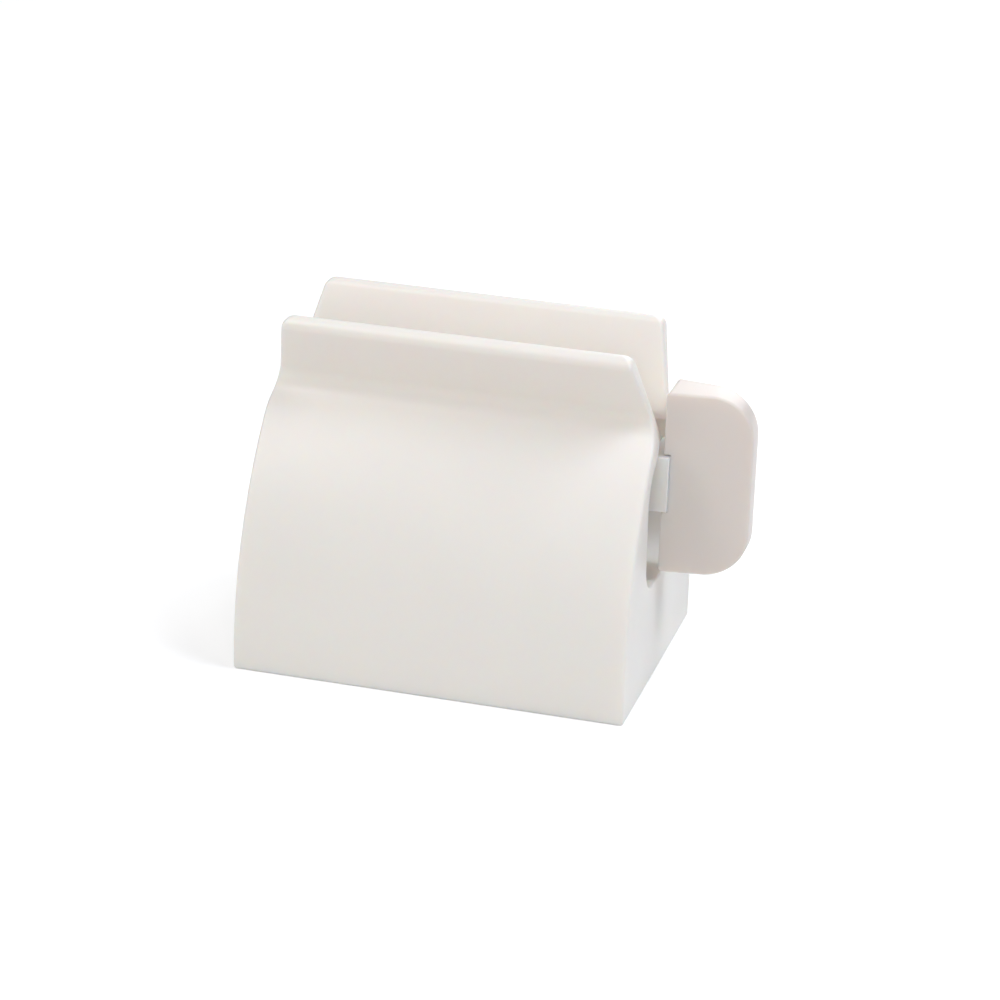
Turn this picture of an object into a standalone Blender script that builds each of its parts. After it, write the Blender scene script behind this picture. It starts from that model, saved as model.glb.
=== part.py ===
"""Tube squeezer: a moulded stand with a slot between two flared lips, and a turning key.

The tail of a tube goes down the slot and between the two prongs of the spindle. Turning the
handle winds the tube up inside the chamber. The key draws out to the right to load it.

Metres, +Z up, +X along the spindle towards the handle, +Y towards the back. The origin is on the
surface that the stand rests on, under the middle of the whole object.
"""
import math

import bmesh
import bpy
from mathutils import Vector

# Stand, outside
BODY_LENGTH = 0.0620            # left end to right end, at the base
BODY_DEPTH = 0.0440             # front to back, at the base
BODY_HEIGHT = 0.0543            # base to the top of the lips
BULGE_RADIUS = 0.0501           # curve of the front and the back
BULGE_HEIGHT = 0.0047           # height at which the curved front stands upright
SHOULDER_WALL = 0.0018          # from the slot's side to where the curve and the lip would meet
SHOULDER_FILLET = 0.0032        # soft hollow between the two
END_DRAFT = math.radians(0.7)   # lean of both ends
SLANT_HEIGHT = 0.0390           # above this both ends slant in further, up to the lips' tops
END_SLANT = math.radians(12.5)
END_EDGE = 0.0005               # softened edge round both ends

# Lips, with the funnel and the slot between them
LIP_SPREAD = 0.0201             # middle of one lip's top to the middle of the other's
LIP_THICKNESS = 0.0028          # at the rounded top
LIP_CORNER = 0.0014             # rounded top corners of the lips, seen from the front
FUNNEL_DROP = 0.0009            # how far below the shoulder the funnel narrows to the slot
FUNNEL_OVERLAP = 0.0005         # how far the funnel's faces run on across the slot
SLOT_WIDTH = 0.0066             # where the funnel ends
SLOT_FOOT = 0.0100              # where the slot opens into the chamber
SLOT_DEPTH = 0.0046             # the funnel's end down to the chamber's roof

# Stand, inside
SKIN = 0.0022                   # curved outer wall
END_WALL = 0.0022               # flat end walls
CHAMBER_WIDTH = 0.0199          # room for the wound-up tube
CHAMBER_ABOVE = 0.0045          # its roof above the turning axis
CHAMBER_BELOW = 0.0161          # its floor below the turning axis
ROOF_CORNER = 0.0070            # rounded corners of the roof
FLOOR_CORNER = 0.0045           # rounded corners of the floor
CHAMBER_WALL = 0.0020           # wall round the chamber, where the underside is hollow
HOLLOW_HEIGHT = 0.0265          # how far the hollow underside reaches up beside the chamber

# Key
SPINDLE_RADIUS = 0.0042
SPINDLE_CLEARANCE = 0.0003      # running clearance in the left end's bearing
SPINDLE_RECESS = 0.0005         # how far the prongs stop inside the left end
PRONG_LEAD = 0.0010             # tapered tips that find the bearing
SLIT_WIDTH = 0.0020             # gap between the prongs, for the tube's tail
SLIT_STOP = 0.0015              # solid root left between the slit and the collar
KEY_CLEARANCE = 0.0003          # between the stand's right end and the turning handle
COLLAR_MARGIN = 0.0002          # how far the square collar stands out past the spindle
COLLAR_LEAD = 0.0020            # how far it reaches from the handle into the chamber's mouth
COLLAR_SEAT = 0.0010            # how deep it sits in the handle
TANG_LENGTH = 0.0050            # flat tang that carries the handle
TANG_HEIGHT = 0.0070
TANG_THICKNESS = 0.0030
FIT_GAP = 0.0003                # between the handle and what it is pressed on
HANDLE_HEIGHT = 0.0290
HANDLE_REACH = 0.0133           # root to outer edge
HANDLE_ROOT = 0.0074            # thickness at the root
HANDLE_TIP = 0.0037             # thickness at the outer edge
HANDLE_CORNER = 0.0068          # rounded outer corners
HANDLE_ROOT_CORNER = 0.0007     # rounded corners next to the stand
HANDLE_EDGE = 0.0004            # softened edges of the two faces

# Smoothness of the curves
BULGE_STEPS = 22
FILLET_STEPS = 6
LIP_STEPS = 10
LIP_CORNER_CUTS = (0.5, 0.8)    # heights in the lips' corners where their curve bends
CORNER_STEPS = 8
SPINDLE_STEPS = 48
EDGE_STEPS = 2
HANDLE_EDGE_STEPS = 3
EDGE_ROUNDNESS = 0.5            # softened edges are quarter circles
SHARP_ANGLE = math.radians(30)
OVERSHOOT = 0.0020              # how far a cutter runs past the face that it opens

PLASTIC = {
    "housing": ((0.800, 0.768, 0.724), 0.38),
    "split_spindle": ((0.780, 0.742, 0.694), 0.40),
    "handle": ((0.760, 0.716, 0.672), 0.36),
}


def end_inset(z):
    """How far an end face lies inside the base's end at height z."""
    inset = math.tan(END_DRAFT) * z
    if z > SLANT_HEIGHT:
        inset += math.tan(END_SLANT) * (z - SLANT_HEIGHT)
    into_corner = z - (BODY_HEIGHT - LIP_CORNER)
    if into_corner > 0:
        inset += LIP_CORNER - math.sqrt(max(LIP_CORNER**2 - into_corner**2, 0.0))
    return inset


# Heights inside the stand, from the shoulder down
bulge_y = math.sqrt(BULGE_RADIUS**2 - BULGE_HEIGHT**2) - BODY_DEPTH / 2
shoulder_y = -(SLOT_WIDTH / 2 + SHOULDER_WALL)
shoulder_height = BULGE_HEIGHT + math.sqrt(BULGE_RADIUS**2 - (bulge_y - shoulder_y)**2)
funnel_floor = shoulder_height - FUNNEL_DROP
roof_height = funnel_floor - SLOT_DEPTH
axis_height = roof_height - CHAMBER_ABOVE
floor_height = axis_height - CHAMBER_BELOW

# Distances from the stand's left end, and the origin under the middle of the whole length
handle_low = axis_height - HANDLE_HEIGHT / 2
key_start = BODY_LENGTH - end_inset(handle_low) + KEY_CLEARANCE
overall_length = key_start + HANDLE_REACH
left_x = -overall_length / 2
right_x = left_x + BODY_LENGTH
key_x = left_x + key_start
core_x = left_x + end_inset(funnel_floor) + END_WALL
collar_start = key_x - COLLAR_LEAD
collar_end = key_x + COLLAR_SEAT
collar_side = 2 * (SPINDLE_RADIUS + COLLAR_MARGIN)


def arc(centre, radius, start, end, steps):
    """Points of a circular arc from one angle to another, both included."""
    turn = (end - start) / steps
    angles = [start + turn * i for i in range(steps + 1)]
    return [centre + radius * Vector((math.cos(a), math.sin(a))) for a in angles]


def angle_of(vector):
    return math.atan2(vector.y, vector.x)


def tangent_point(point, centre, radius, side):
    """Where a straight line from point touches a circle, on its left (1) or right (-1)."""
    to_centre = centre - point
    spread = math.asin(radius / to_centre.length)
    reach = math.sqrt(to_centre.length**2 - radius**2)
    direction = angle_of(to_centre) + side * spread
    return point + reach * Vector((math.cos(direction), math.sin(direction)))


bulge_centre = Vector((bulge_y, BULGE_HEIGHT))


def on_bulge(radius, z):
    """Point of the front's curve at a height, for the curve itself or one inside it."""
    return Vector((bulge_centre.x - math.sqrt(radius**2 - (z - bulge_centre.y)**2), z))


def front_outline():
    """Outside of the front half in section, from the base up over the lip to the funnel."""
    shoulder = Vector((shoulder_y, shoulder_height))
    half_lip = LIP_THICKNESS / 2
    lip_centre = Vector((-LIP_SPREAD / 2, BODY_HEIGHT - half_lip))
    outer_touch = tangent_point(shoulder, lip_centre, half_lip, 1)

    # The fillet rolls between the curve and the lip's outer face
    along = (outer_touch - shoulder).normalized()
    outward = Vector((-along.y, along.x))
    offset_point = shoulder + SHOULDER_FILLET * outward
    to_point = offset_point - bulge_centre
    half_b = to_point.dot(along)
    rest = to_point.length_squared - (BULGE_RADIUS + SHOULDER_FILLET)**2
    slide = -half_b + math.sqrt(half_b**2 - rest)
    fillet_centre = offset_point + slide * along
    base_angle = angle_of(on_bulge(BULGE_RADIUS, 0.0) - bulge_centre) % math.tau
    fillet_angle = angle_of(fillet_centre - bulge_centre) % math.tau
    points = arc(bulge_centre, BULGE_RADIUS, base_angle, fillet_angle, BULGE_STEPS)
    from_curve = fillet_angle - math.pi
    to_lip = angle_of(-outward)
    points += arc(fillet_centre, SHOULDER_FILLET, from_curve, to_lip, FILLET_STEPS)[1:]

    # Round the lip's top, then down the funnel and a little way across the slot
    slot_edge = Vector((-SLOT_WIDTH / 2, funnel_floor))
    inner_touch = tangent_point(slot_edge, lip_centre, half_lip, -1)
    start = angle_of(outer_touch - lip_centre) % math.tau
    end = angle_of(inner_touch - lip_centre)
    points += arc(lip_centre, half_lip, start, end, LIP_STEPS)
    down = (slot_edge - inner_touch).normalized()
    points.append(slot_edge + down * (FUNNEL_OVERLAP / down.x))
    return points


def mirrored(front):
    """A closed section from its front half, mirrored to the back."""
    return front + [Vector((-p.x, p.y)) for p in reversed(front)]


def rounded_rectangle(low, high, radii):
    """Corner arcs, anticlockwise from the lower left; radii are in the same order."""
    corners = [
        (low.x, low.y, 1, 1),
        (high.x, low.y, -1, 1),
        (high.x, high.y, -1, -1),
        (low.x, high.y, 1, -1),
    ]
    points = []
    for i, (x, y, into_x, into_y) in enumerate(corners):
        centre = Vector((x + into_x * radii[i], y + into_y * radii[i]))
        start = math.pi + i * math.pi / 2
        points += arc(centre, radii[i], start, start + math.pi / 2, CORNER_STEPS)
    return points


def new_object(name, bm):
    """Turn a bmesh into a named object of the scene."""
    bmesh.ops.recalc_face_normals(bm, faces=bm.faces)
    mesh = bpy.data.meshes.new(name)
    bm.to_mesh(mesh)
    bm.free()
    obj = bpy.data.objects.new(name, mesh)
    bpy.context.collection.objects.link(obj)
    return obj


def extruded(points, vector):
    """A prism on a closed outline of 3-D points."""
    bm = bmesh.new()
    face = bm.faces.new([bm.verts.new(p) for p in points])
    sweep = bmesh.ops.extrude_face_region(bm, geom=[face])
    moved = [item for item in sweep["geom"] if isinstance(item, bmesh.types.BMVert)]
    bmesh.ops.translate(bm, verts=moved, vec=vector)
    return bm


def box(low, high):
    """A rectangular block between two corners."""
    (x0, y0, z0), (x1, y1, z1) = low, high
    base = [(x0, y0, z0), (x1, y0, z0), (x1, y1, z0), (x0, y1, z0)]
    return extruded(base, (0, 0, z1 - z0))


def rod(radius, start_x, end_x, height, steps):
    """A plain cylinder along X, at a height above the base."""
    outline = arc(Vector((0.0, height)), radius, 0.0, math.tau, steps)[:-1]
    return extruded([(start_x, p.x, p.y) for p in outline], (end_x - start_x, 0, 0))


def soften(bm, edges, width, steps):
    """Round some edges of a bmesh."""
    bmesh.ops.bevel(
        bm, geom=edges, offset=width, segments=steps, profile=EDGE_ROUNDNESS, affect="EDGES"
    )


def lean_ends(bm, wall):
    """Give a prism the stand's leaning ends, kept a wall's thickness inside them."""
    corner_start = BODY_HEIGHT - LIP_CORNER
    levels = [SLANT_HEIGHT, corner_start]
    levels += [corner_start + LIP_CORNER * share for share in LIP_CORNER_CUTS]
    for level in levels:
        everything = bm.verts[:] + bm.edges[:] + bm.faces[:]
        bmesh.ops.bisect_plane(bm, geom=everything, plane_co=(0, 0, level), plane_no=(0, 0, 1))
    middle = (left_x + right_x) / 2
    for vert in bm.verts:
        inset = end_inset(vert.co.z) + wall
        vert.co.x += inset if vert.co.x < middle else -inset


def cutter(name, bm):
    """An object that only cuts or is joined to others."""
    obj = new_object(name, bm)
    obj.hide_render = True
    obj.display_type = "WIRE"
    return obj


def combine(target, tool, operation="DIFFERENCE"):
    modifier = target.modifiers.new(f"{operation.lower()} {tool.name}", "BOOLEAN")
    modifier.operation = operation
    modifier.object = tool


def finish(obj):
    """Own plastic, and smooth shading that keeps the hard edges."""
    colour, roughness = PLASTIC[obj.name]
    material = bpy.data.materials.new(f"{obj.name} plastic")
    material.use_nodes = True
    shader = material.node_tree.nodes["Principled BSDF"]
    shader.inputs["Base Color"].default_value = (*colour, 1.0)
    shader.inputs["Roughness"].default_value = roughness
    shader.inputs["Metallic"].default_value = 0.0
    obj.data.materials.append(material)
    obj.data.shade_smooth()
    obj.data.set_sharp_from_angle(angle=SHARP_ANGLE)


def keyhole(name, growth, start_x, end_x):
    """The chamber, a rounded rectangle, and the tapering slot above it, all grown alike."""
    half = CHAMBER_WIDTH / 2 + growth
    roof_radius = ROOF_CORNER + growth
    floor_radius = FLOOR_CORNER + growth
    roof_centre = Vector((roof_radius - half, roof_height + growth - roof_radius))
    floor_centre = Vector((floor_radius - half, floor_height - growth + floor_radius))
    slot = SLOT_WIDTH / 2 + growth
    foot = SLOT_FOOT / 2 + growth
    foot_angle = math.acos((-foot - roof_centre.x) / roof_radius)
    front = [Vector((-slot, funnel_floor + OVERSHOOT)), Vector((-slot, funnel_floor))]
    front += arc(roof_centre, roof_radius, foot_angle, math.pi, CORNER_STEPS)
    front += arc(floor_centre, floor_radius, math.pi, math.tau * 3 / 4, CORNER_STEPS)
    outline = mirrored(front)
    return cutter(name, extruded([(start_x, p.x, p.y) for p in outline], (end_x - start_x, 0, 0)))


def make_housing():
    """The stand: one thin-walled moulding, open underneath."""
    outline = mirrored(front_outline())
    bm = extruded([(left_x, p.x, p.y) for p in outline], (BODY_LENGTH, 0, 0))
    rim = [e for e in bm.edges if e.verts[0].co.x == e.verts[1].co.x]
    soften(bm, rim, END_EDGE, EDGE_STEPS)
    lean_ends(bm, 0.0)
    housing = new_object("housing", bm)

    # The hollow underside leaves the skin, the end walls and the chamber's own wall standing
    inner = BULGE_RADIUS - SKIN
    low = angle_of(on_bulge(inner, -OVERSHOOT) - bulge_centre) % math.tau
    high = angle_of(on_bulge(inner, HOLLOW_HEIGHT) - bulge_centre) % math.tau
    section = mirrored(arc(bulge_centre, inner, low, high, BULGE_STEPS))
    bm = extruded([(left_x, p.x, p.y) for p in section], (BODY_LENGTH, 0, 0))
    lean_ends(bm, END_WALL)
    hollow = cutter("underside hollow", bm)
    combine(hollow, keyhole("kept wall", CHAMBER_WALL, left_x - OVERSHOOT, right_x + OVERSHOOT))
    combine(housing, hollow)

    # The chamber and the slot run out of the right end only, and the left end has a bearing
    combine(housing, keyhole("chamber and slot", 0.0, core_x, right_x + OVERSHOOT))
    hole = SPINDLE_RADIUS + SPINDLE_CLEARANCE
    bearing = rod(hole, left_x - OVERSHOOT, core_x + OVERSHOOT, axis_height, SPINDLE_STEPS)
    combine(housing, cutter("left bearing", bearing))
    finish(housing)


def make_spindle():
    """Two prongs with a slit between them, a square collar and a tang for the handle."""
    tip_x = left_x + end_inset(axis_height) + SPINDLE_RECESS
    into_collar = (collar_start + collar_end) / 2
    profile = [
        (tip_x, 0.0),
        (tip_x, SPINDLE_RADIUS - PRONG_LEAD),
        (tip_x + PRONG_LEAD, SPINDLE_RADIUS),
        (into_collar, SPINDLE_RADIUS),
        (into_collar, 0.0),
    ]
    bm = bmesh.new()
    verts = [bm.verts.new((x, 0, axis_height + radius)) for x, radius in profile]
    edges = [bm.edges.new(pair) for pair in zip(verts, verts[1:])]
    axis_point = (0, 0, axis_height)
    bmesh.ops.spin(
        bm, geom=verts + edges, axis=(1, 0, 0), cent=axis_point, angle=math.tau, steps=SPINDLE_STEPS
    )
    bmesh.ops.remove_doubles(bm, verts=bm.verts, dist=1e-6)
    spindle = new_object("split_spindle", bm)

    half = collar_side / 2
    low = (collar_start, -half, axis_height - half)
    high = (collar_end, half, axis_height + half)
    combine(spindle, cutter("collar", box(low, high)), "UNION")
    low = (into_collar, -TANG_THICKNESS / 2, axis_height - TANG_HEIGHT / 2)
    high = (collar_end + TANG_LENGTH, TANG_THICKNESS / 2, axis_height + TANG_HEIGHT / 2)
    combine(spindle, cutter("tang", box(low, high)), "UNION")

    reach = SPINDLE_RADIUS + OVERSHOOT
    low = (tip_x - OVERSHOOT, -SLIT_WIDTH / 2, axis_height - reach)
    high = (collar_start - SLIT_STOP, SLIT_WIDTH / 2, axis_height + reach)
    combine(spindle, cutter("slit", box(low, high)))
    finish(spindle)
    return spindle


def make_handle():
    """Wedge-shaped grip: thick at the root, thin at the outer edge."""
    low = Vector((key_x, handle_low))
    high = Vector((key_x + HANDLE_REACH, handle_low + HANDLE_HEIGHT))
    radii = (HANDLE_ROOT_CORNER, HANDLE_CORNER, HANDLE_CORNER, HANDLE_ROOT_CORNER)
    outline = rounded_rectangle(low, high, radii)
    bm = extruded([(p.x, -HANDLE_ROOT / 2, p.y) for p in outline], (0, HANDLE_ROOT, 0))
    for vert in bm.verts:
        share = (vert.co.x - key_x) / HANDLE_REACH
        thickness = HANDLE_ROOT + (HANDLE_TIP - HANDLE_ROOT) * share
        vert.co.y = math.copysign(thickness / 2, vert.co.y)
    rims = [e for e in bm.edges if e.verts[0].co.y * e.verts[1].co.y > 0]
    soften(bm, rims, HANDLE_EDGE, HANDLE_EDGE_STEPS)
    handle = new_object("handle", bm)

    # A notch across the root takes the collar, and a socket behind it takes the tang
    half = collar_side / 2 + FIT_GAP
    notch_end = collar_end + FIT_GAP
    low = (key_x - OVERSHOOT, -HANDLE_ROOT, axis_height - half)
    high = (notch_end, HANDLE_ROOT, axis_height + half)
    combine(handle, cutter("notch", box(low, high)))
    half_width = TANG_THICKNESS / 2 + FIT_GAP
    half_height = TANG_HEIGHT / 2 + FIT_GAP
    low = (key_x, -half_width, axis_height - half_height)
    high = (notch_end + TANG_LENGTH, half_width, axis_height + half_height)
    combine(handle, cutter("socket", box(low, high)))
    finish(handle)
    return handle


def hang_on_axis(pieces):
    """Parent the turning pieces to an empty that lies on the spindle's axis."""
    pivot = bpy.data.objects.new("key pivot", None)
    pivot.location = (key_x, 0, axis_height)
    bpy.context.collection.objects.link(pivot)
    bpy.context.view_layer.update()
    for piece in pieces:
        piece.parent = pivot
        piece.matrix_parent_inverse = pivot.matrix_world.inverted()


for old in list(bpy.data.objects):
    bpy.data.objects.remove(old, do_unlink=True)
make_housing()
hang_on_axis([make_spindle(), make_handle()])
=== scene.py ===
"""Looks of the tube squeezer: fine surfaces, moulded plastic, a white stage and soft light.

Metres, +Z up, +X along the spindle towards the handle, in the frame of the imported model.
"""
import math

import bmesh
import bpy
from mathutils import Matrix, Vector


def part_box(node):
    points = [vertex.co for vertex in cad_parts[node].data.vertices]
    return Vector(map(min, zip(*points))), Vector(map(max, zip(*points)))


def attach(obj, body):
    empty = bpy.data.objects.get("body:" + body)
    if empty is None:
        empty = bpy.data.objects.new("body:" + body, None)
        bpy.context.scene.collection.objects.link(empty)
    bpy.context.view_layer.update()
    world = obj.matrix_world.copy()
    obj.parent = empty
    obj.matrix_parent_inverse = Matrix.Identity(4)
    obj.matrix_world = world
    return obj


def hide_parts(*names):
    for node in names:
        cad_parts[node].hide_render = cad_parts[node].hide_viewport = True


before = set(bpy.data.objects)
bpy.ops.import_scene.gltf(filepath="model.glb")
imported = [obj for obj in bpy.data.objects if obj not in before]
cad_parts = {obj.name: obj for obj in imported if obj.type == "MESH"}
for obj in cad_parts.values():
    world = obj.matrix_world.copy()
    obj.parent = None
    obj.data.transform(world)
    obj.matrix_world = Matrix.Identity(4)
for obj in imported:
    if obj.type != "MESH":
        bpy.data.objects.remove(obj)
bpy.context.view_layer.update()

# The stand's section, front half
BULGE_RADIUS = 0.0501           # curve of the front and the back
BULGE_HEIGHT = 0.0047           # height at which the curved front stands upright
SHOULDER_WALL = 0.0018          # from the slot's side to where the curve and the lip would meet
SHOULDER_FILLET = 0.0032        # soft hollow between the two
LIP_SPREAD = 0.0201             # middle of one lip's top to the middle of the other's
LIP_THICKNESS = 0.0028
LIP_CORNER = 0.0014             # rounded top corners of the lips, seen from the front
FUNNEL_DROP = 0.0009            # how far below the shoulder the funnel narrows to the slot
FUNNEL_OVERLAP = 0.0005         # how far the funnel's side runs on across the slot
SLOT_WIDTH = 0.0066             # where the funnel ends
SLOT_FOOT = 0.0100              # where the slot opens into the chamber
SLOT_DEPTH = 0.0046             # the funnel's end down to the chamber's roof
SLOT_NECK = 0.0014              # upright part of the slot, below the funnel
SKIN = 0.0022                   # curved outer wall
HOLLOW_HEIGHT = 0.0265          # how far the hollow underside reaches up

# The stand's ends
END_DRAFT = math.radians(0.7)
SLANT_HEIGHT = 0.0390           # above this both ends slant in, up to the lips' tops
SLANT_BLEND = 0.0010            # half the height over which an end bends into its slant
END_SLANT = math.radians(12.5)
END_WALL = 0.0022
END_EDGE = 0.0005               # rounded rim of both ends

# The chamber and the openings
CHAMBER_WIDTH = 0.0199
CHAMBER_BELOW = 0.0161          # its floor below the turning axis
ROOF_CORNER = 0.0070
FLOOR_CORNER = 0.0045
CHAMBER_WALL = 0.0020           # kept round the chamber and the slot, inside the hollow
CUT_EDGE = 0.00025              # rounded rims of the openings and of the base

# The key
SPINDLE_RADIUS = 0.0042
SPINDLE_CLEARANCE = 0.0003      # round the spindle in its bearing hole
SPINDLE_RECESS = 0.0005         # its tip inside the stand's left end
PRONG_LEAD = 0.0010             # chamfer round the tips of the prongs
SLIT_WIDTH = 0.0020
SLIT_STOP = 0.0015              # the slit's closed end to the collar
COLLAR_MARGIN = 0.0002          # how far the collar's flats stand out past the shaft
COLLAR_LEAD = 0.0020            # collar in front of the handle's root
COLLAR_SEAT = 0.0010            # collar inside the handle's notch
TANG_LENGTH = 0.0050
TANG_HEIGHT = 0.0070
TANG_THICKNESS = 0.0030
FIT_GAP = 0.0003                # round the collar and the tang, in the handle
NOTCH_GAP = 0.00002             # the collar's far side shows no seam against the handle
HANDLE_TIP = 0.0037             # thickness at the outer edge
HANDLE_CORNER = 0.0068
HANDLE_ROOT_CORNER = 0.0007
HANDLE_EDGE = 0.0004
ROOT_EDGE = 0.0001              # the handle's edges along the root are crisper
KEY_EDGE = 0.00012              # rounded edges of the collar, the slit and the notch

# The plastic
STAND_COLOUR = (0.870, 0.834, 0.781)
STAND_ROUGHNESS = 0.38
# Painted light: the spindle is the stand's plastic coloured lighter, so its collar and the shaft inside
# the mouth look more brightly lit
SPINDLE_LIT_COLOUR = (0.930, 0.895, 0.855)
SPINDLE_ROUGHNESS = 0.40
# Painted shade: the handle is the stand's plastic coloured darker and warmer, for the shade on its face
# that turns away from the light
HANDLE_SHADED_COLOUR = (0.778, 0.710, 0.654)
HANDLE_ROUGHNESS = 0.36
CLOUD_SCALE = 70.0              # faint clouds in the colour
CLOUD_DETAIL = 3.0
CLOUD_DARKEST = 0.985
CLOUD_LIGHTEST = 1.012
SHEEN_SCALE = 160.0             # patches that are a little smoother or rougher
SHEEN_DETAIL = 4.0
SHEEN_SMOOTHER = 0.03
SHEEN_ROUGHER = 0.04
GRAIN_SCALE = 4200.0            # fine grain of the mould
GRAIN_DETAIL = 2.0
GRAIN_DEPTH = 0.00003
GRAIN_STRENGTH = 0.12
NOISE_LOW = 0.3                 # most of a noise pattern lies between these two
NOISE_HIGH = 0.7
GLOW_WEIGHT = 0.60              # light that soaks into the plastic and comes out again
GLOW_DEPTH = 0.0020
GLOW_BY_COLOUR = (1.0, 0.7, 0.5)
PLASTIC_IOR = 1.49

# Smoothness of the fine meshes
BULGE_STEPS = 90
FILLET_STEPS = 14
LIP_STEPS = 28
CORNER_STEPS = 20
SPINDLE_STEPS = 80
RIM_STEPS = 5
BLEND_STEPS = 8
CUT_STEPS = 3
SHARP_ANGLE = math.radians(32)  # edges that fold by more count as sharp
OVERSHOOT = 0.0020              # how far a cutting shape reaches past what it cuts
SAME_PLACE = 0.00001            # points closer than this are in one plane
SAME_POINT = 0.000001           # and closer than this are one point
MITRE_LIMIT = 0.3               # keeps a mitred corner from running far out

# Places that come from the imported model
stand_low, stand_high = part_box("housing")
grip_low, grip_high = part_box("handle")
left_x, right_x = stand_low.x, stand_high.x
body_height = stand_high.z
key_x = grip_low.x
handle_reach = grip_high.x - grip_low.x
handle_root = grip_high.y - grip_low.y
axis_z = (grip_low.z + grip_high.z) / 2
collar_start = key_x - COLLAR_LEAD
collar_end = key_x + COLLAR_SEAT
collar_side = 2 * (SPINDLE_RADIUS + COLLAR_MARGIN)
bulge_centre = Vector((stand_low.y + BULGE_RADIUS, BULGE_HEIGHT))
shoulder_y = -(SLOT_WIDTH / 2 + SHOULDER_WALL)
shoulder_height = BULGE_HEIGHT + math.sqrt(BULGE_RADIUS**2 - (bulge_centre.x - shoulder_y)**2)
funnel_floor = shoulder_height - FUNNEL_DROP
roof_height = funnel_floor - SLOT_DEPTH
floor_height = axis_z - CHAMBER_BELOW


def end_inset(z):
    """How far an end face lies inside the base's end at height z."""
    inset = math.tan(END_DRAFT) * z
    above = z - SLANT_HEIGHT
    if above > SLANT_BLEND:
        inset += math.tan(END_SLANT) * above
    elif above > -SLANT_BLEND:
        inset += math.tan(END_SLANT) * (above + SLANT_BLEND)**2 / (4 * SLANT_BLEND)
    into_corner = z - (body_height - LIP_CORNER)
    if into_corner > 0:
        inset += LIP_CORNER - math.sqrt(max(LIP_CORNER**2 - into_corner**2, 0.0))
    return inset


core_x = left_x + end_inset(funnel_floor) + END_WALL


def arc(centre, radius, start, end, steps):
    """Points of a circular arc from one angle to another, both included."""
    turn = (end - start) / steps
    angles = [start + turn * i for i in range(steps + 1)]
    return [centre + radius * Vector((math.cos(a), math.sin(a))) for a in angles]


def angle_of(vector):
    """Direction of a 2-D vector, anticlockwise from the first axis."""
    return math.atan2(vector.y, vector.x)


def tangent_point(point, centre, radius, side):
    """Where a straight line from point touches a circle, on its left (1) or right (-1)."""
    to_centre = centre - point
    spread = math.asin(radius / to_centre.length)
    reach = math.sqrt(to_centre.length**2 - radius**2)
    direction = angle_of(to_centre) + side * spread
    return point + reach * Vector((math.cos(direction), math.sin(direction)))


def on_bulge(radius, z):
    """Point of the front's curve at a height, for the curve itself or one inside it."""
    return Vector((bulge_centre.x - math.sqrt(radius**2 - (z - bulge_centre.y)**2), z))


def front_outline():
    """Outside of the front half in section, from the base up over the lip to the funnel."""
    shoulder = Vector((shoulder_y, shoulder_height))
    half_lip = LIP_THICKNESS / 2
    lip_centre = Vector((-LIP_SPREAD / 2, body_height - half_lip))
    outer_touch = tangent_point(shoulder, lip_centre, half_lip, 1)

    # The fillet rolls between the curve and the lip's outer face
    along = (outer_touch - shoulder).normalized()
    outward = Vector((-along.y, along.x))
    offset_point = shoulder + SHOULDER_FILLET * outward
    to_point = offset_point - bulge_centre
    half_b = to_point.dot(along)
    rest = to_point.length_squared - (BULGE_RADIUS + SHOULDER_FILLET)**2
    slide = -half_b + math.sqrt(half_b**2 - rest)
    fillet_centre = offset_point + slide * along
    base_angle = angle_of(on_bulge(BULGE_RADIUS, 0.0) - bulge_centre) % math.tau
    fillet_angle = angle_of(fillet_centre - bulge_centre) % math.tau
    points = arc(bulge_centre, BULGE_RADIUS, base_angle, fillet_angle, BULGE_STEPS)
    from_curve = fillet_angle - math.pi
    to_lip = angle_of(-outward)
    points += arc(fillet_centre, SHOULDER_FILLET, from_curve, to_lip, FILLET_STEPS)[1:]

    # Round the lip's top, then down the funnel and a little way across the slot
    slot_edge = Vector((-SLOT_WIDTH / 2, funnel_floor))
    inner_touch = tangent_point(slot_edge, lip_centre, half_lip, -1)
    start = angle_of(outer_touch - lip_centre) % math.tau
    end = angle_of(inner_touch - lip_centre)
    points += arc(lip_centre, half_lip, start, end, LIP_STEPS)
    down = (slot_edge - inner_touch).normalized()
    points.append(slot_edge + down * (FUNNEL_OVERLAP / down.x))
    return points


def mirrored(front):
    """A closed section from its front half, mirrored to the back."""
    return front + [Vector((-p.x, p.y)) for p in reversed(front)]


def moved_inwards(outline, distance):
    """A closed clockwise outline moved into its inside, with mitred corners."""
    moved = []
    for i, point in enumerate(outline):
        before = (point - outline[i - 1]).normalized()
        after = (outline[(i + 1) % len(outline)] - point).normalized()
        normal = Vector((before.y + after.y, -before.x - after.x)).normalized()
        mitre = max(normal.dot(Vector((after.y, -after.x))), MITRE_LIMIT)
        moved.append(point + normal * distance / mitre)
    return moved


def new_object(name, bm):
    """Turn a bmesh into a named object of the scene."""
    bmesh.ops.recalc_face_normals(bm, faces=bm.faces)
    mesh = bpy.data.meshes.new(name)
    bm.to_mesh(mesh)
    bm.free()
    obj = bpy.data.objects.new(name, mesh)
    bpy.context.collection.objects.link(obj)
    return obj


def extruded(points, vector):
    """A prism on a closed outline of 3-D points."""
    bm = bmesh.new()
    face = bm.faces.new([bm.verts.new(p) for p in points])
    sweep = bmesh.ops.extrude_face_region(bm, geom=[face])
    moved = [item for item in sweep["geom"] if isinstance(item, bmesh.types.BMVert)]
    bmesh.ops.translate(bm, verts=moved, vec=vector)
    return bm


def skinned(loops):
    """A closed mesh through a row of closed loops with as many points each."""
    bm = bmesh.new()
    rings = [[bm.verts.new(p) for p in loop] for loop in loops]
    count = len(loops[0])
    for ring, following in zip(rings, rings[1:]):
        for i in range(count):
            j = (i + 1) % count
            bm.faces.new((ring[i], ring[j], following[j], following[i]))
    bm.faces.new(rings[0])
    bm.faces.new(rings[-1])
    return bm


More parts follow.
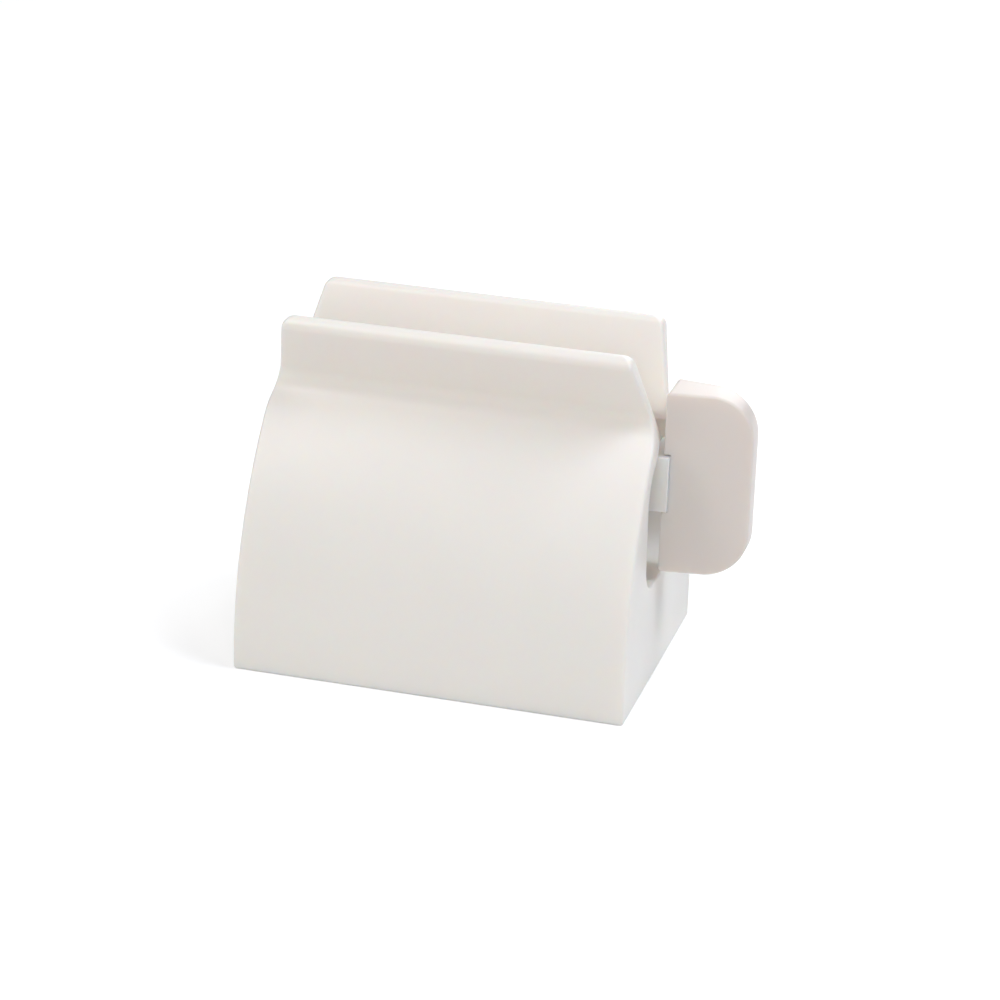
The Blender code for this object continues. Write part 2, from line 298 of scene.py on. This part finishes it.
def rim_stations(radius):
    """Steps of a rounded rim: how far from the end, and how far inside the outline."""
    angles = [math.pi / 2 * i / RIM_STEPS for i in range(RIM_STEPS + 1)]
    return [(radius * (1 - math.cos(a)), radius * (1 - math.sin(a))) for a in angles]


def rod(radius, start_x, end_x, height, steps):
    """A plain cylinder along X, at a height above the base."""
    outline = arc(Vector((0.0, height)), radius, 0.0, math.tau, steps)[:-1]
    return extruded([(start_x, p.x, p.y) for p in outline], (end_x - start_x, 0, 0))


def lean_ends(bm, wall):
    """Give a prism the stand's leaning ends, kept a wall's thickness inside them."""
    levels = [SLANT_HEIGHT + SLANT_BLEND * (2 * i / BLEND_STEPS - 1) for i in range(BLEND_STEPS + 1)]
    corner_start = body_height - LIP_CORNER
    turn = math.pi / 2 / BLEND_STEPS
    levels += [corner_start + LIP_CORNER * math.sin(turn * i) for i in range(BLEND_STEPS)]
    for level in levels:
        everything = bm.verts[:] + bm.edges[:] + bm.faces[:]
        bmesh.ops.bisect_plane(bm, geom=everything, plane_co=(0, 0, level), plane_no=(0, 0, 1))
    middle = (left_x + right_x) / 2
    for vert in bm.verts:
        inset = end_inset(vert.co.z) + wall
        vert.co.x += inset if vert.co.x < middle else -inset


def combined(target, tools):
    """Apply Booleans to an object and delete the tools; each tool is (object, operation)."""
    for tool, operation in tools:
        modifier = target.modifiers.new(tool.name, "BOOLEAN")
        modifier.operation = operation
        modifier.object = tool
    evaluated = target.evaluated_get(bpy.context.evaluated_depsgraph_get())
    mesh = bpy.data.meshes.new_from_object(evaluated)
    target.modifiers.clear()
    target.data = mesh
    for tool, _ in tools:
        bpy.data.objects.remove(tool, do_unlink=True)
    return target


def soften_cuts(obj, width, stays_sharp=None):
    """Round the sharp edges of an object, apart from those that stays_sharp picks."""
    bm = bmesh.new()
    bm.from_mesh(obj.data)
    bmesh.ops.remove_doubles(bm, verts=bm.verts, dist=SAME_POINT)
    edges = [e for e in bm.edges if e.is_manifold and e.calc_face_angle() > SHARP_ANGLE]
    if stays_sharp:
        edges = [e for e in edges if not stays_sharp(e)]
    bmesh.ops.bevel(bm, geom=edges, offset=width, segments=CUT_STEPS, profile=0.5, affect="EDGES")
    bm.to_mesh(obj.data)
    bm.free()


def keyhole(name, growth, start_x, end_x):
    """The chamber, a rounded rectangle, and the tapering slot above it, all grown alike."""
    half = CHAMBER_WIDTH / 2 + growth
    roof_radius = ROOF_CORNER + growth
    floor_radius = FLOOR_CORNER + growth
    roof_centre = Vector((roof_radius - half, roof_height + growth - roof_radius))
    floor_centre = Vector((floor_radius - half, floor_height - growth + floor_radius))
    slot = SLOT_WIDTH / 2 + growth
    foot = SLOT_FOOT / 2 + growth
    foot_angle = math.acos((-foot - roof_centre.x) / roof_radius)
    front = [Vector((-slot, funnel_floor + OVERSHOOT)), Vector((-slot, funnel_floor - SLOT_NECK))]
    front += arc(roof_centre, roof_radius, foot_angle, math.pi, CORNER_STEPS)
    front += arc(floor_centre, floor_radius, math.pi, math.tau * 3 / 4, CORNER_STEPS)
    outline = mirrored(front)
    return new_object(name, extruded([(start_x, p.x, p.y) for p in outline], (end_x - start_x, 0, 0)))


def make_stand():
    """The moulded stand: flared lips, funnel, slot, chamber, bearing hole and open underside."""
    outline = mirrored(front_outline())
    stations = rim_stations(END_EDGE)
    ends = [(left_x + x, inside) for x, inside in stations]
    ends += [(right_x - x, inside) for x, inside in reversed(stations)]
    loops = [[(x, p.x, p.y) for p in moved_inwards(outline, inside)] for x, inside in ends]
    bm = skinned(loops)
    lean_ends(bm, 0.0)
    stand = new_object("squeezer_stand", bm)

    inner = BULGE_RADIUS - SKIN
    low = angle_of(on_bulge(inner, -OVERSHOOT) - bulge_centre) % math.tau
    high = angle_of(on_bulge(inner, HOLLOW_HEIGHT) - bulge_centre) % math.tau
    section = mirrored(arc(bulge_centre, inner, low, high, BULGE_STEPS))
    bm = extruded([(left_x, p.x, p.y) for p in section], (right_x - left_x, 0, 0))
    lean_ends(bm, END_WALL)
    kept = keyhole("kept wall", CHAMBER_WALL, left_x - OVERSHOOT, right_x + OVERSHOOT)
    hollow = combined(new_object("hollow", bm), [(kept, "DIFFERENCE")])
    slot = keyhole("slot", 0.0, core_x, right_x + OVERSHOOT)
    hole_radius = SPINDLE_RADIUS + SPINDLE_CLEARANCE
    bm = rod(hole_radius, left_x - OVERSHOOT, core_x + OVERSHOOT, axis_z, SPINDLE_STEPS)
    bearing = new_object("bearing", bm)
    combined(stand, [(hollow, "DIFFERENCE"), (slot, "DIFFERENCE"), (bearing, "DIFFERENCE")])
    soften_cuts(stand, CUT_EDGE)

    # Bevels can leave points of the rim a hair below the surface that it stands on
    for vert in stand.data.vertices:
        vert.co.z = max(vert.co.z, 0.0)
    return stand


def rounded_rectangle(low, high, radii):
    """Corner arcs, anticlockwise from the lower left; radii are in the same order."""
    corners = [
        (low.x, low.y, 1, 1),
        (high.x, low.y, -1, 1),
        (high.x, high.y, -1, -1),
        (low.x, high.y, 1, -1),
    ]
    points = []
    for i, (x, y, into_x, into_y) in enumerate(corners):
        centre = Vector((x + into_x * radii[i], y + into_y * radii[i]))
        start = math.pi + i * math.pi / 2
        points += arc(centre, radii[i], start, start + math.pi / 2, CORNER_STEPS)
    return points


def block(name, low, high):
    """A rectangular block between two corners."""
    (x0, y0, z0), (x1, y1, z1) = low, high
    base = [(x0, y0, z0), (x1, y0, z0), (x1, y1, z0), (x0, y1, z0)]
    return new_object(name, extruded(base, (0, 0, z1 - z0)))


def make_spindle():
    """Two prongs with a slit between them, a square collar and a tang for the handle."""
    tip_x = left_x + end_inset(axis_z) + SPINDLE_RECESS
    into_collar = (collar_start + collar_end) / 2
    profile = [
        (tip_x, 0.0),
        (tip_x, SPINDLE_RADIUS - PRONG_LEAD),
        (tip_x + PRONG_LEAD, SPINDLE_RADIUS),
        (into_collar, SPINDLE_RADIUS),
        (into_collar, 0.0),
    ]
    bm = bmesh.new()
    verts = [bm.verts.new((x, 0, axis_z + radius)) for x, radius in profile]
    edges = [bm.edges.new(pair) for pair in zip(verts, verts[1:])]
    bmesh.ops.spin(
        bm, geom=verts + edges, axis=(1, 0, 0), cent=(0, 0, axis_z), angle=math.tau, steps=SPINDLE_STEPS
    )
    bmesh.ops.remove_doubles(bm, verts=bm.verts, dist=SAME_POINT)
    spindle = new_object("winding_spindle", bm)
    half = collar_side / 2
    collar = block("collar", (collar_start, -half, axis_z - half), (collar_end, half, axis_z + half))
    thick = TANG_THICKNESS / 2
    tall = TANG_HEIGHT / 2
    high = (collar_end + TANG_LENGTH, thick, axis_z + tall)
    tang = block("tang", (into_collar, -thick, axis_z - tall), high)
    reach = SPINDLE_RADIUS + OVERSHOOT
    low = (tip_x - OVERSHOOT, -SLIT_WIDTH / 2, axis_z - reach)
    slit = block("slit", low, (collar_start - SLIT_STOP, SLIT_WIDTH / 2, axis_z + reach))
    combined(spindle, [(collar, "UNION"), (tang, "UNION"), (slit, "DIFFERENCE")])
    soften_cuts(spindle, KEY_EDGE, lambda edge: on_seam(edge) or across_shaft(edge))
    return spindle


def on_seam(edge):
    """Whether an edge lies where the collar meets the handle's notch."""
    return all(abs(vert.co.x - collar_end) < 2 * NOTCH_GAP for vert in edge.verts)


def across_shaft(edge):
    """Whether an edge lies at the slit's closed end, or where the shaft enters the collar."""
    half = collar_side / 2 - SAME_PLACE
    inside = all(abs(vert.co.y) < half and abs(vert.co.z - axis_z) < half for vert in edge.verts)
    planes = (collar_start, collar_start - SLIT_STOP)
    return inside and any(all(abs(vert.co.x - x) < SAME_PLACE for vert in edge.verts) for x in planes)


def on_notch(edge):
    """Whether an edge runs along the notch's upper or lower wall, off the handle's root face."""
    half = collar_side / 2 + FIT_GAP
    level = all(abs(abs(vert.co.z - axis_z) - half) < SAME_PLACE for vert in edge.verts)
    beyond_root = any(vert.co.x > key_x + ROOT_EDGE + SAME_PLACE for vert in edge.verts)
    return level and beyond_root and not on_seam(edge)


def make_handle():
    """Wedge-shaped grip: thick at the root, thin at the outer edge."""
    low = Vector((key_x, grip_low.z))
    high = Vector((key_x + handle_reach, grip_high.z))
    radii = (HANDLE_ROOT_CORNER, HANDLE_CORNER, HANDLE_CORNER, HANDLE_ROOT_CORNER)
    stations = rim_stations(HANDLE_EDGE)
    loops = []
    for side, steps in ((-1, stations), (1, reversed(stations))):
        for depth, inside in steps:
            root_inside = inside * ROOT_EDGE / HANDLE_EDGE
            inner_low = low + Vector((root_inside, inside))
            inner_high = high - Vector((inside, inside))
            outline = rounded_rectangle(inner_low, inner_high, [r - inside for r in radii])
            loops.append([(p.x, side * (half_thickness(p.x) - depth), p.y) for p in outline])
    handle = new_object("turning_handle", skinned(loops))
    half = collar_side / 2 + FIT_GAP
    notch_end = collar_end + NOTCH_GAP
    low = (key_x - OVERSHOOT, -handle_root, axis_z - half)
    notch = block("notch", low, (notch_end, handle_root, axis_z + half))
    half_width = TANG_THICKNESS / 2 + FIT_GAP
    half_height = TANG_HEIGHT / 2 + FIT_GAP
    low = (key_x, -half_width, axis_z - half_height)
    socket = block("socket", low, (collar_end + TANG_LENGTH + FIT_GAP, half_width, axis_z + half_height))
    combined(handle, [(notch, "DIFFERENCE"), (socket, "DIFFERENCE")])
    soften_cuts(handle, KEY_EDGE, lambda edge: not on_notch(edge))
    return handle


def half_thickness(x):
    """Half of the handle's thickness at a place along the spindle's axis."""
    share = (x - key_x) / handle_reach
    return (handle_root + (HANDLE_TIP - handle_root) * share) / 2


def plastic(name, colour, roughness):
    """Smooth moulded plastic with a faint cloudiness and a fine spark-eroded grain."""
    material = bpy.data.materials.new(name)
    material.use_nodes = True
    nodes = material.node_tree.nodes
    links = material.node_tree.links
    shader = nodes["Principled BSDF"]
    place = nodes.new("ShaderNodeTexCoord")

    def noise(scale, detail):
        """A noise pattern that is fixed to the piece."""
        node = nodes.new("ShaderNodeTexNoise")
        node.inputs["Scale"].default_value = scale
        node.inputs["Detail"].default_value = detail
        links.new(place.outputs["Object"], node.inputs["Vector"])
        return node.outputs["Fac"]

    def spread(value, low, high):
        """The middle range of a noise, stretched so that it runs from low to high."""
        node = nodes.new("ShaderNodeMapRange")
        node.inputs["From Min"].default_value = NOISE_LOW
        node.inputs["From Max"].default_value = NOISE_HIGH
        node.inputs["To Min"].default_value = low
        node.inputs["To Max"].default_value = high
        links.new(value, node.inputs["Value"])
        return node.outputs["Result"]

    tint = nodes.new("ShaderNodeMix")
    tint.data_type = "RGBA"
    tint.inputs["A"].default_value = (*[c * CLOUD_DARKEST for c in colour], 1.0)
    tint.inputs["B"].default_value = (*[c * CLOUD_LIGHTEST for c in colour], 1.0)
    links.new(noise(CLOUD_SCALE, CLOUD_DETAIL), tint.inputs["Factor"])
    links.new(tint.outputs["Result"], shader.inputs["Base Color"])
    patches = noise(SHEEN_SCALE, SHEEN_DETAIL)
    sheen = spread(patches, roughness - SHEEN_SMOOTHER, roughness + SHEEN_ROUGHER)
    links.new(sheen, shader.inputs["Roughness"])
    bump = nodes.new("ShaderNodeBump")
    bump.inputs["Strength"].default_value = GRAIN_STRENGTH
    bump.inputs["Distance"].default_value = GRAIN_DEPTH
    links.new(noise(GRAIN_SCALE, GRAIN_DETAIL), bump.inputs["Height"])
    links.new(bump.outputs["Normal"], shader.inputs["Normal"])
    shader.inputs["Subsurface Weight"].default_value = GLOW_WEIGHT
    shader.inputs["Subsurface Radius"].default_value = GLOW_BY_COLOUR
    shader.inputs["Subsurface Scale"].default_value = GLOW_DEPTH
    shader.inputs["IOR"].default_value = PLASTIC_IOR
    return material


def dress(piece, node, body, material):
    """Give a fine piece its material and shading, and let it stand for its CAD node."""
    piece.data.materials.clear()
    piece.data.materials.append(material)
    piece.data.shade_smooth()
    piece.data.set_sharp_from_angle(angle=SHARP_ANGLE)
    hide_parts(node)
    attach(piece, body)


stand_plastic = plastic("stand_plastic", STAND_COLOUR, STAND_ROUGHNESS)
# Painted light in the spindle's plastic, a lighter copy of the stand's
spindle_plastic = plastic("spindle_plastic", SPINDLE_LIT_COLOUR, SPINDLE_ROUGHNESS)
# Painted shade in the handle's plastic, a darker copy of the stand's
handle_plastic = plastic("handle_plastic", HANDLE_SHADED_COLOUR, HANDLE_ROUGHNESS)
dress(make_stand(), "housing", "stand", stand_plastic)
dress(make_spindle(), "split_spindle", "key", spindle_plastic)
dress(make_handle(), "handle", "key", handle_plastic)

# Stage and light
FLOOR_HALF = 0.48
FLOOR_COLOUR = (0.80, 0.80, 0.80)
FLOOR_GLOW = 0.36
SKY_COLOUR = (1.0, 1.0, 1.0)
SKY_STRENGTH = 0.10

# Name, place, size, power and colour of each lamp
LAMPS = [
    ("right top lamp", (0.50, 0.00, 0.75), 0.40, 3.66, (0.86, 0.905, 1.0)),
    ("rear top lamp", (0.35, 0.25, 0.80), 0.40, 1.12, (0.88, 0.94, 1.0)),
    ("left lamp", (-0.45, -0.35, 0.55), 0.35, 2.38, (1.0, 0.98, 0.96)),
    ("front fill", (0.19, -0.70, 0.30), 0.35, 1.20, (1.0, 0.97, 0.93)),
    ("front top lamp", (0.00, -0.45, 0.75), 0.40, 0.72, (0.70, 0.80, 1.0)),
    ("back lamp", (0.10, 0.75, 0.40), 0.50, 2.62, (1.0, 1.0, 1.0)),
]

# Camera
CAMERA_AZIMUTH = math.radians(15.06)
CAMERA_ELEVATION = math.radians(21.85)
CAMERA_ROLL = math.radians(1.95)
CAMERA_DISTANCE = 0.51425
CAMERA_FOCAL = 3.3206           # focal length in image widths
CAMERA_NEAREST = 0.01
TARGET_ASIDE = 0.00482          # the point looked at, to the right of the stand's middle
TARGET_HEIGHT = 0.02467


def make_camera():
    """A camera where the photograph's was, turned by its slight roll."""
    data = bpy.data.cameras.new("camera")
    data.lens = CAMERA_FOCAL * data.sensor_width
    data.clip_start = CAMERA_NEAREST
    camera = bpy.data.objects.new("camera", data)
    bpy.context.collection.objects.link(camera)
    back = Vector((
        math.sin(CAMERA_AZIMUTH) * math.cos(CAMERA_ELEVATION),
        -math.cos(CAMERA_AZIMUTH) * math.cos(CAMERA_ELEVATION),
        math.sin(CAMERA_ELEVATION),
    ))
    right = Vector((math.cos(CAMERA_AZIMUTH), math.sin(CAMERA_AZIMUTH), 0.0))
    up = back.cross(right)
    rolled_right = right * math.cos(CAMERA_ROLL) + up * math.sin(CAMERA_ROLL)
    rolled_up = -right * math.sin(CAMERA_ROLL) + up * math.cos(CAMERA_ROLL)
    rotation = Matrix((rolled_right, rolled_up, back)).transposed().to_4x4()
    target = Vector(((left_x + right_x) / 2 + TARGET_ASIDE, 0.0, TARGET_HEIGHT))
    camera.matrix_world = Matrix.Translation(target + back * CAMERA_DISTANCE) @ rotation
    bpy.context.scene.camera = camera


def white_to_camera(strength, tree, shadowed):
    """A shader that looks white to the camera and in reflections, with its shadows kept."""
    glow = tree.nodes.new("ShaderNodeEmission")
    glow.inputs["Strength"].default_value = strength
    both = tree.nodes.new("ShaderNodeAddShader")
    tree.links.new(shadowed, both.inputs[0])
    tree.links.new(glow.outputs["Emission"], both.inputs[1])

    # Only these kinds of ray meet the glow, so it casts no light of its own
    path = tree.nodes.new("ShaderNodeLightPath")
    seen = path.outputs["Is Camera Ray"]
    for kind in ("Is Glossy Ray", "Is Transmission Ray"):
        either = tree.nodes.new("ShaderNodeMath")
        either.operation = "MAXIMUM"
        tree.links.new(seen, either.inputs[0])
        tree.links.new(path.outputs[kind], either.inputs[1])
        seen = either.outputs["Value"]
    choice = tree.nodes.new("ShaderNodeMixShader")
    tree.links.new(seen, choice.inputs["Fac"])
    tree.links.new(shadowed, choice.inputs[1])
    tree.links.new(both.outputs["Shader"], choice.inputs[2])
    return choice.outputs["Shader"]


def make_floor():
    """A pale matt floor, white to the camera wherever the object throws no shadow."""
    bm = bmesh.new()
    bmesh.ops.create_grid(bm, x_segments=1, y_segments=1, size=FLOOR_HALF)
    floor = new_object("floor", bm)
    material = bpy.data.materials.new("floor")
    material.use_nodes = True
    tree = material.node_tree
    tree.nodes.remove(tree.nodes["Principled BSDF"])
    matt = tree.nodes.new("ShaderNodeBsdfDiffuse")
    matt.inputs["Color"].default_value = (*FLOOR_COLOUR, 1.0)
    output = tree.nodes["Material Output"]
    tree.links.new(white_to_camera(FLOOR_GLOW, tree, matt.outputs["BSDF"]), output.inputs["Surface"])
    floor.data.materials.append(material)


def make_world():
    """Faint even light from all round, and a white background for the camera."""
    world = bpy.data.worlds.new("studio")
    bpy.context.scene.world = world
    world.use_nodes = True
    tree = world.node_tree
    around = tree.nodes["Background"]
    around.inputs["Color"].default_value = (*SKY_COLOUR, 1.0)
    around.inputs["Strength"].default_value = SKY_STRENGTH
    white = tree.nodes.new("ShaderNodeBackground")
    white.inputs["Color"].default_value = (1.0, 1.0, 1.0, 1.0)
    path = tree.nodes.new("ShaderNodeLightPath")
    choice = tree.nodes.new("ShaderNodeMixShader")
    tree.links.new(path.outputs["Is Camera Ray"], choice.inputs["Fac"])
    tree.links.new(around.outputs["Background"], choice.inputs[1])
    tree.links.new(white.outputs["Background"], choice.inputs[2])
    tree.links.new(choice.outputs["Shader"], tree.nodes["World Output"].inputs["Surface"])


def make_lamp(name, place, size, power, colour):
    """A soft square lamp that points at the object."""
    data = bpy.data.lights.new(name, "AREA")
    data.energy = power
    data.size = size
    data.color = colour
    lamp = bpy.data.objects.new(name, data)
    bpy.context.collection.objects.link(lamp)
    lamp.location = place
    aim = Vector((0.0, 0.0, axis_z)) - Vector(place)
    lamp.rotation_euler = aim.to_track_quat("-Z", "Y").to_euler()


make_camera()
make_floor()
make_world()
for lamp in LAMPS:
    make_lamp(*lamp)
bpy.context.scene.view_settings.view_transform = "Standard"
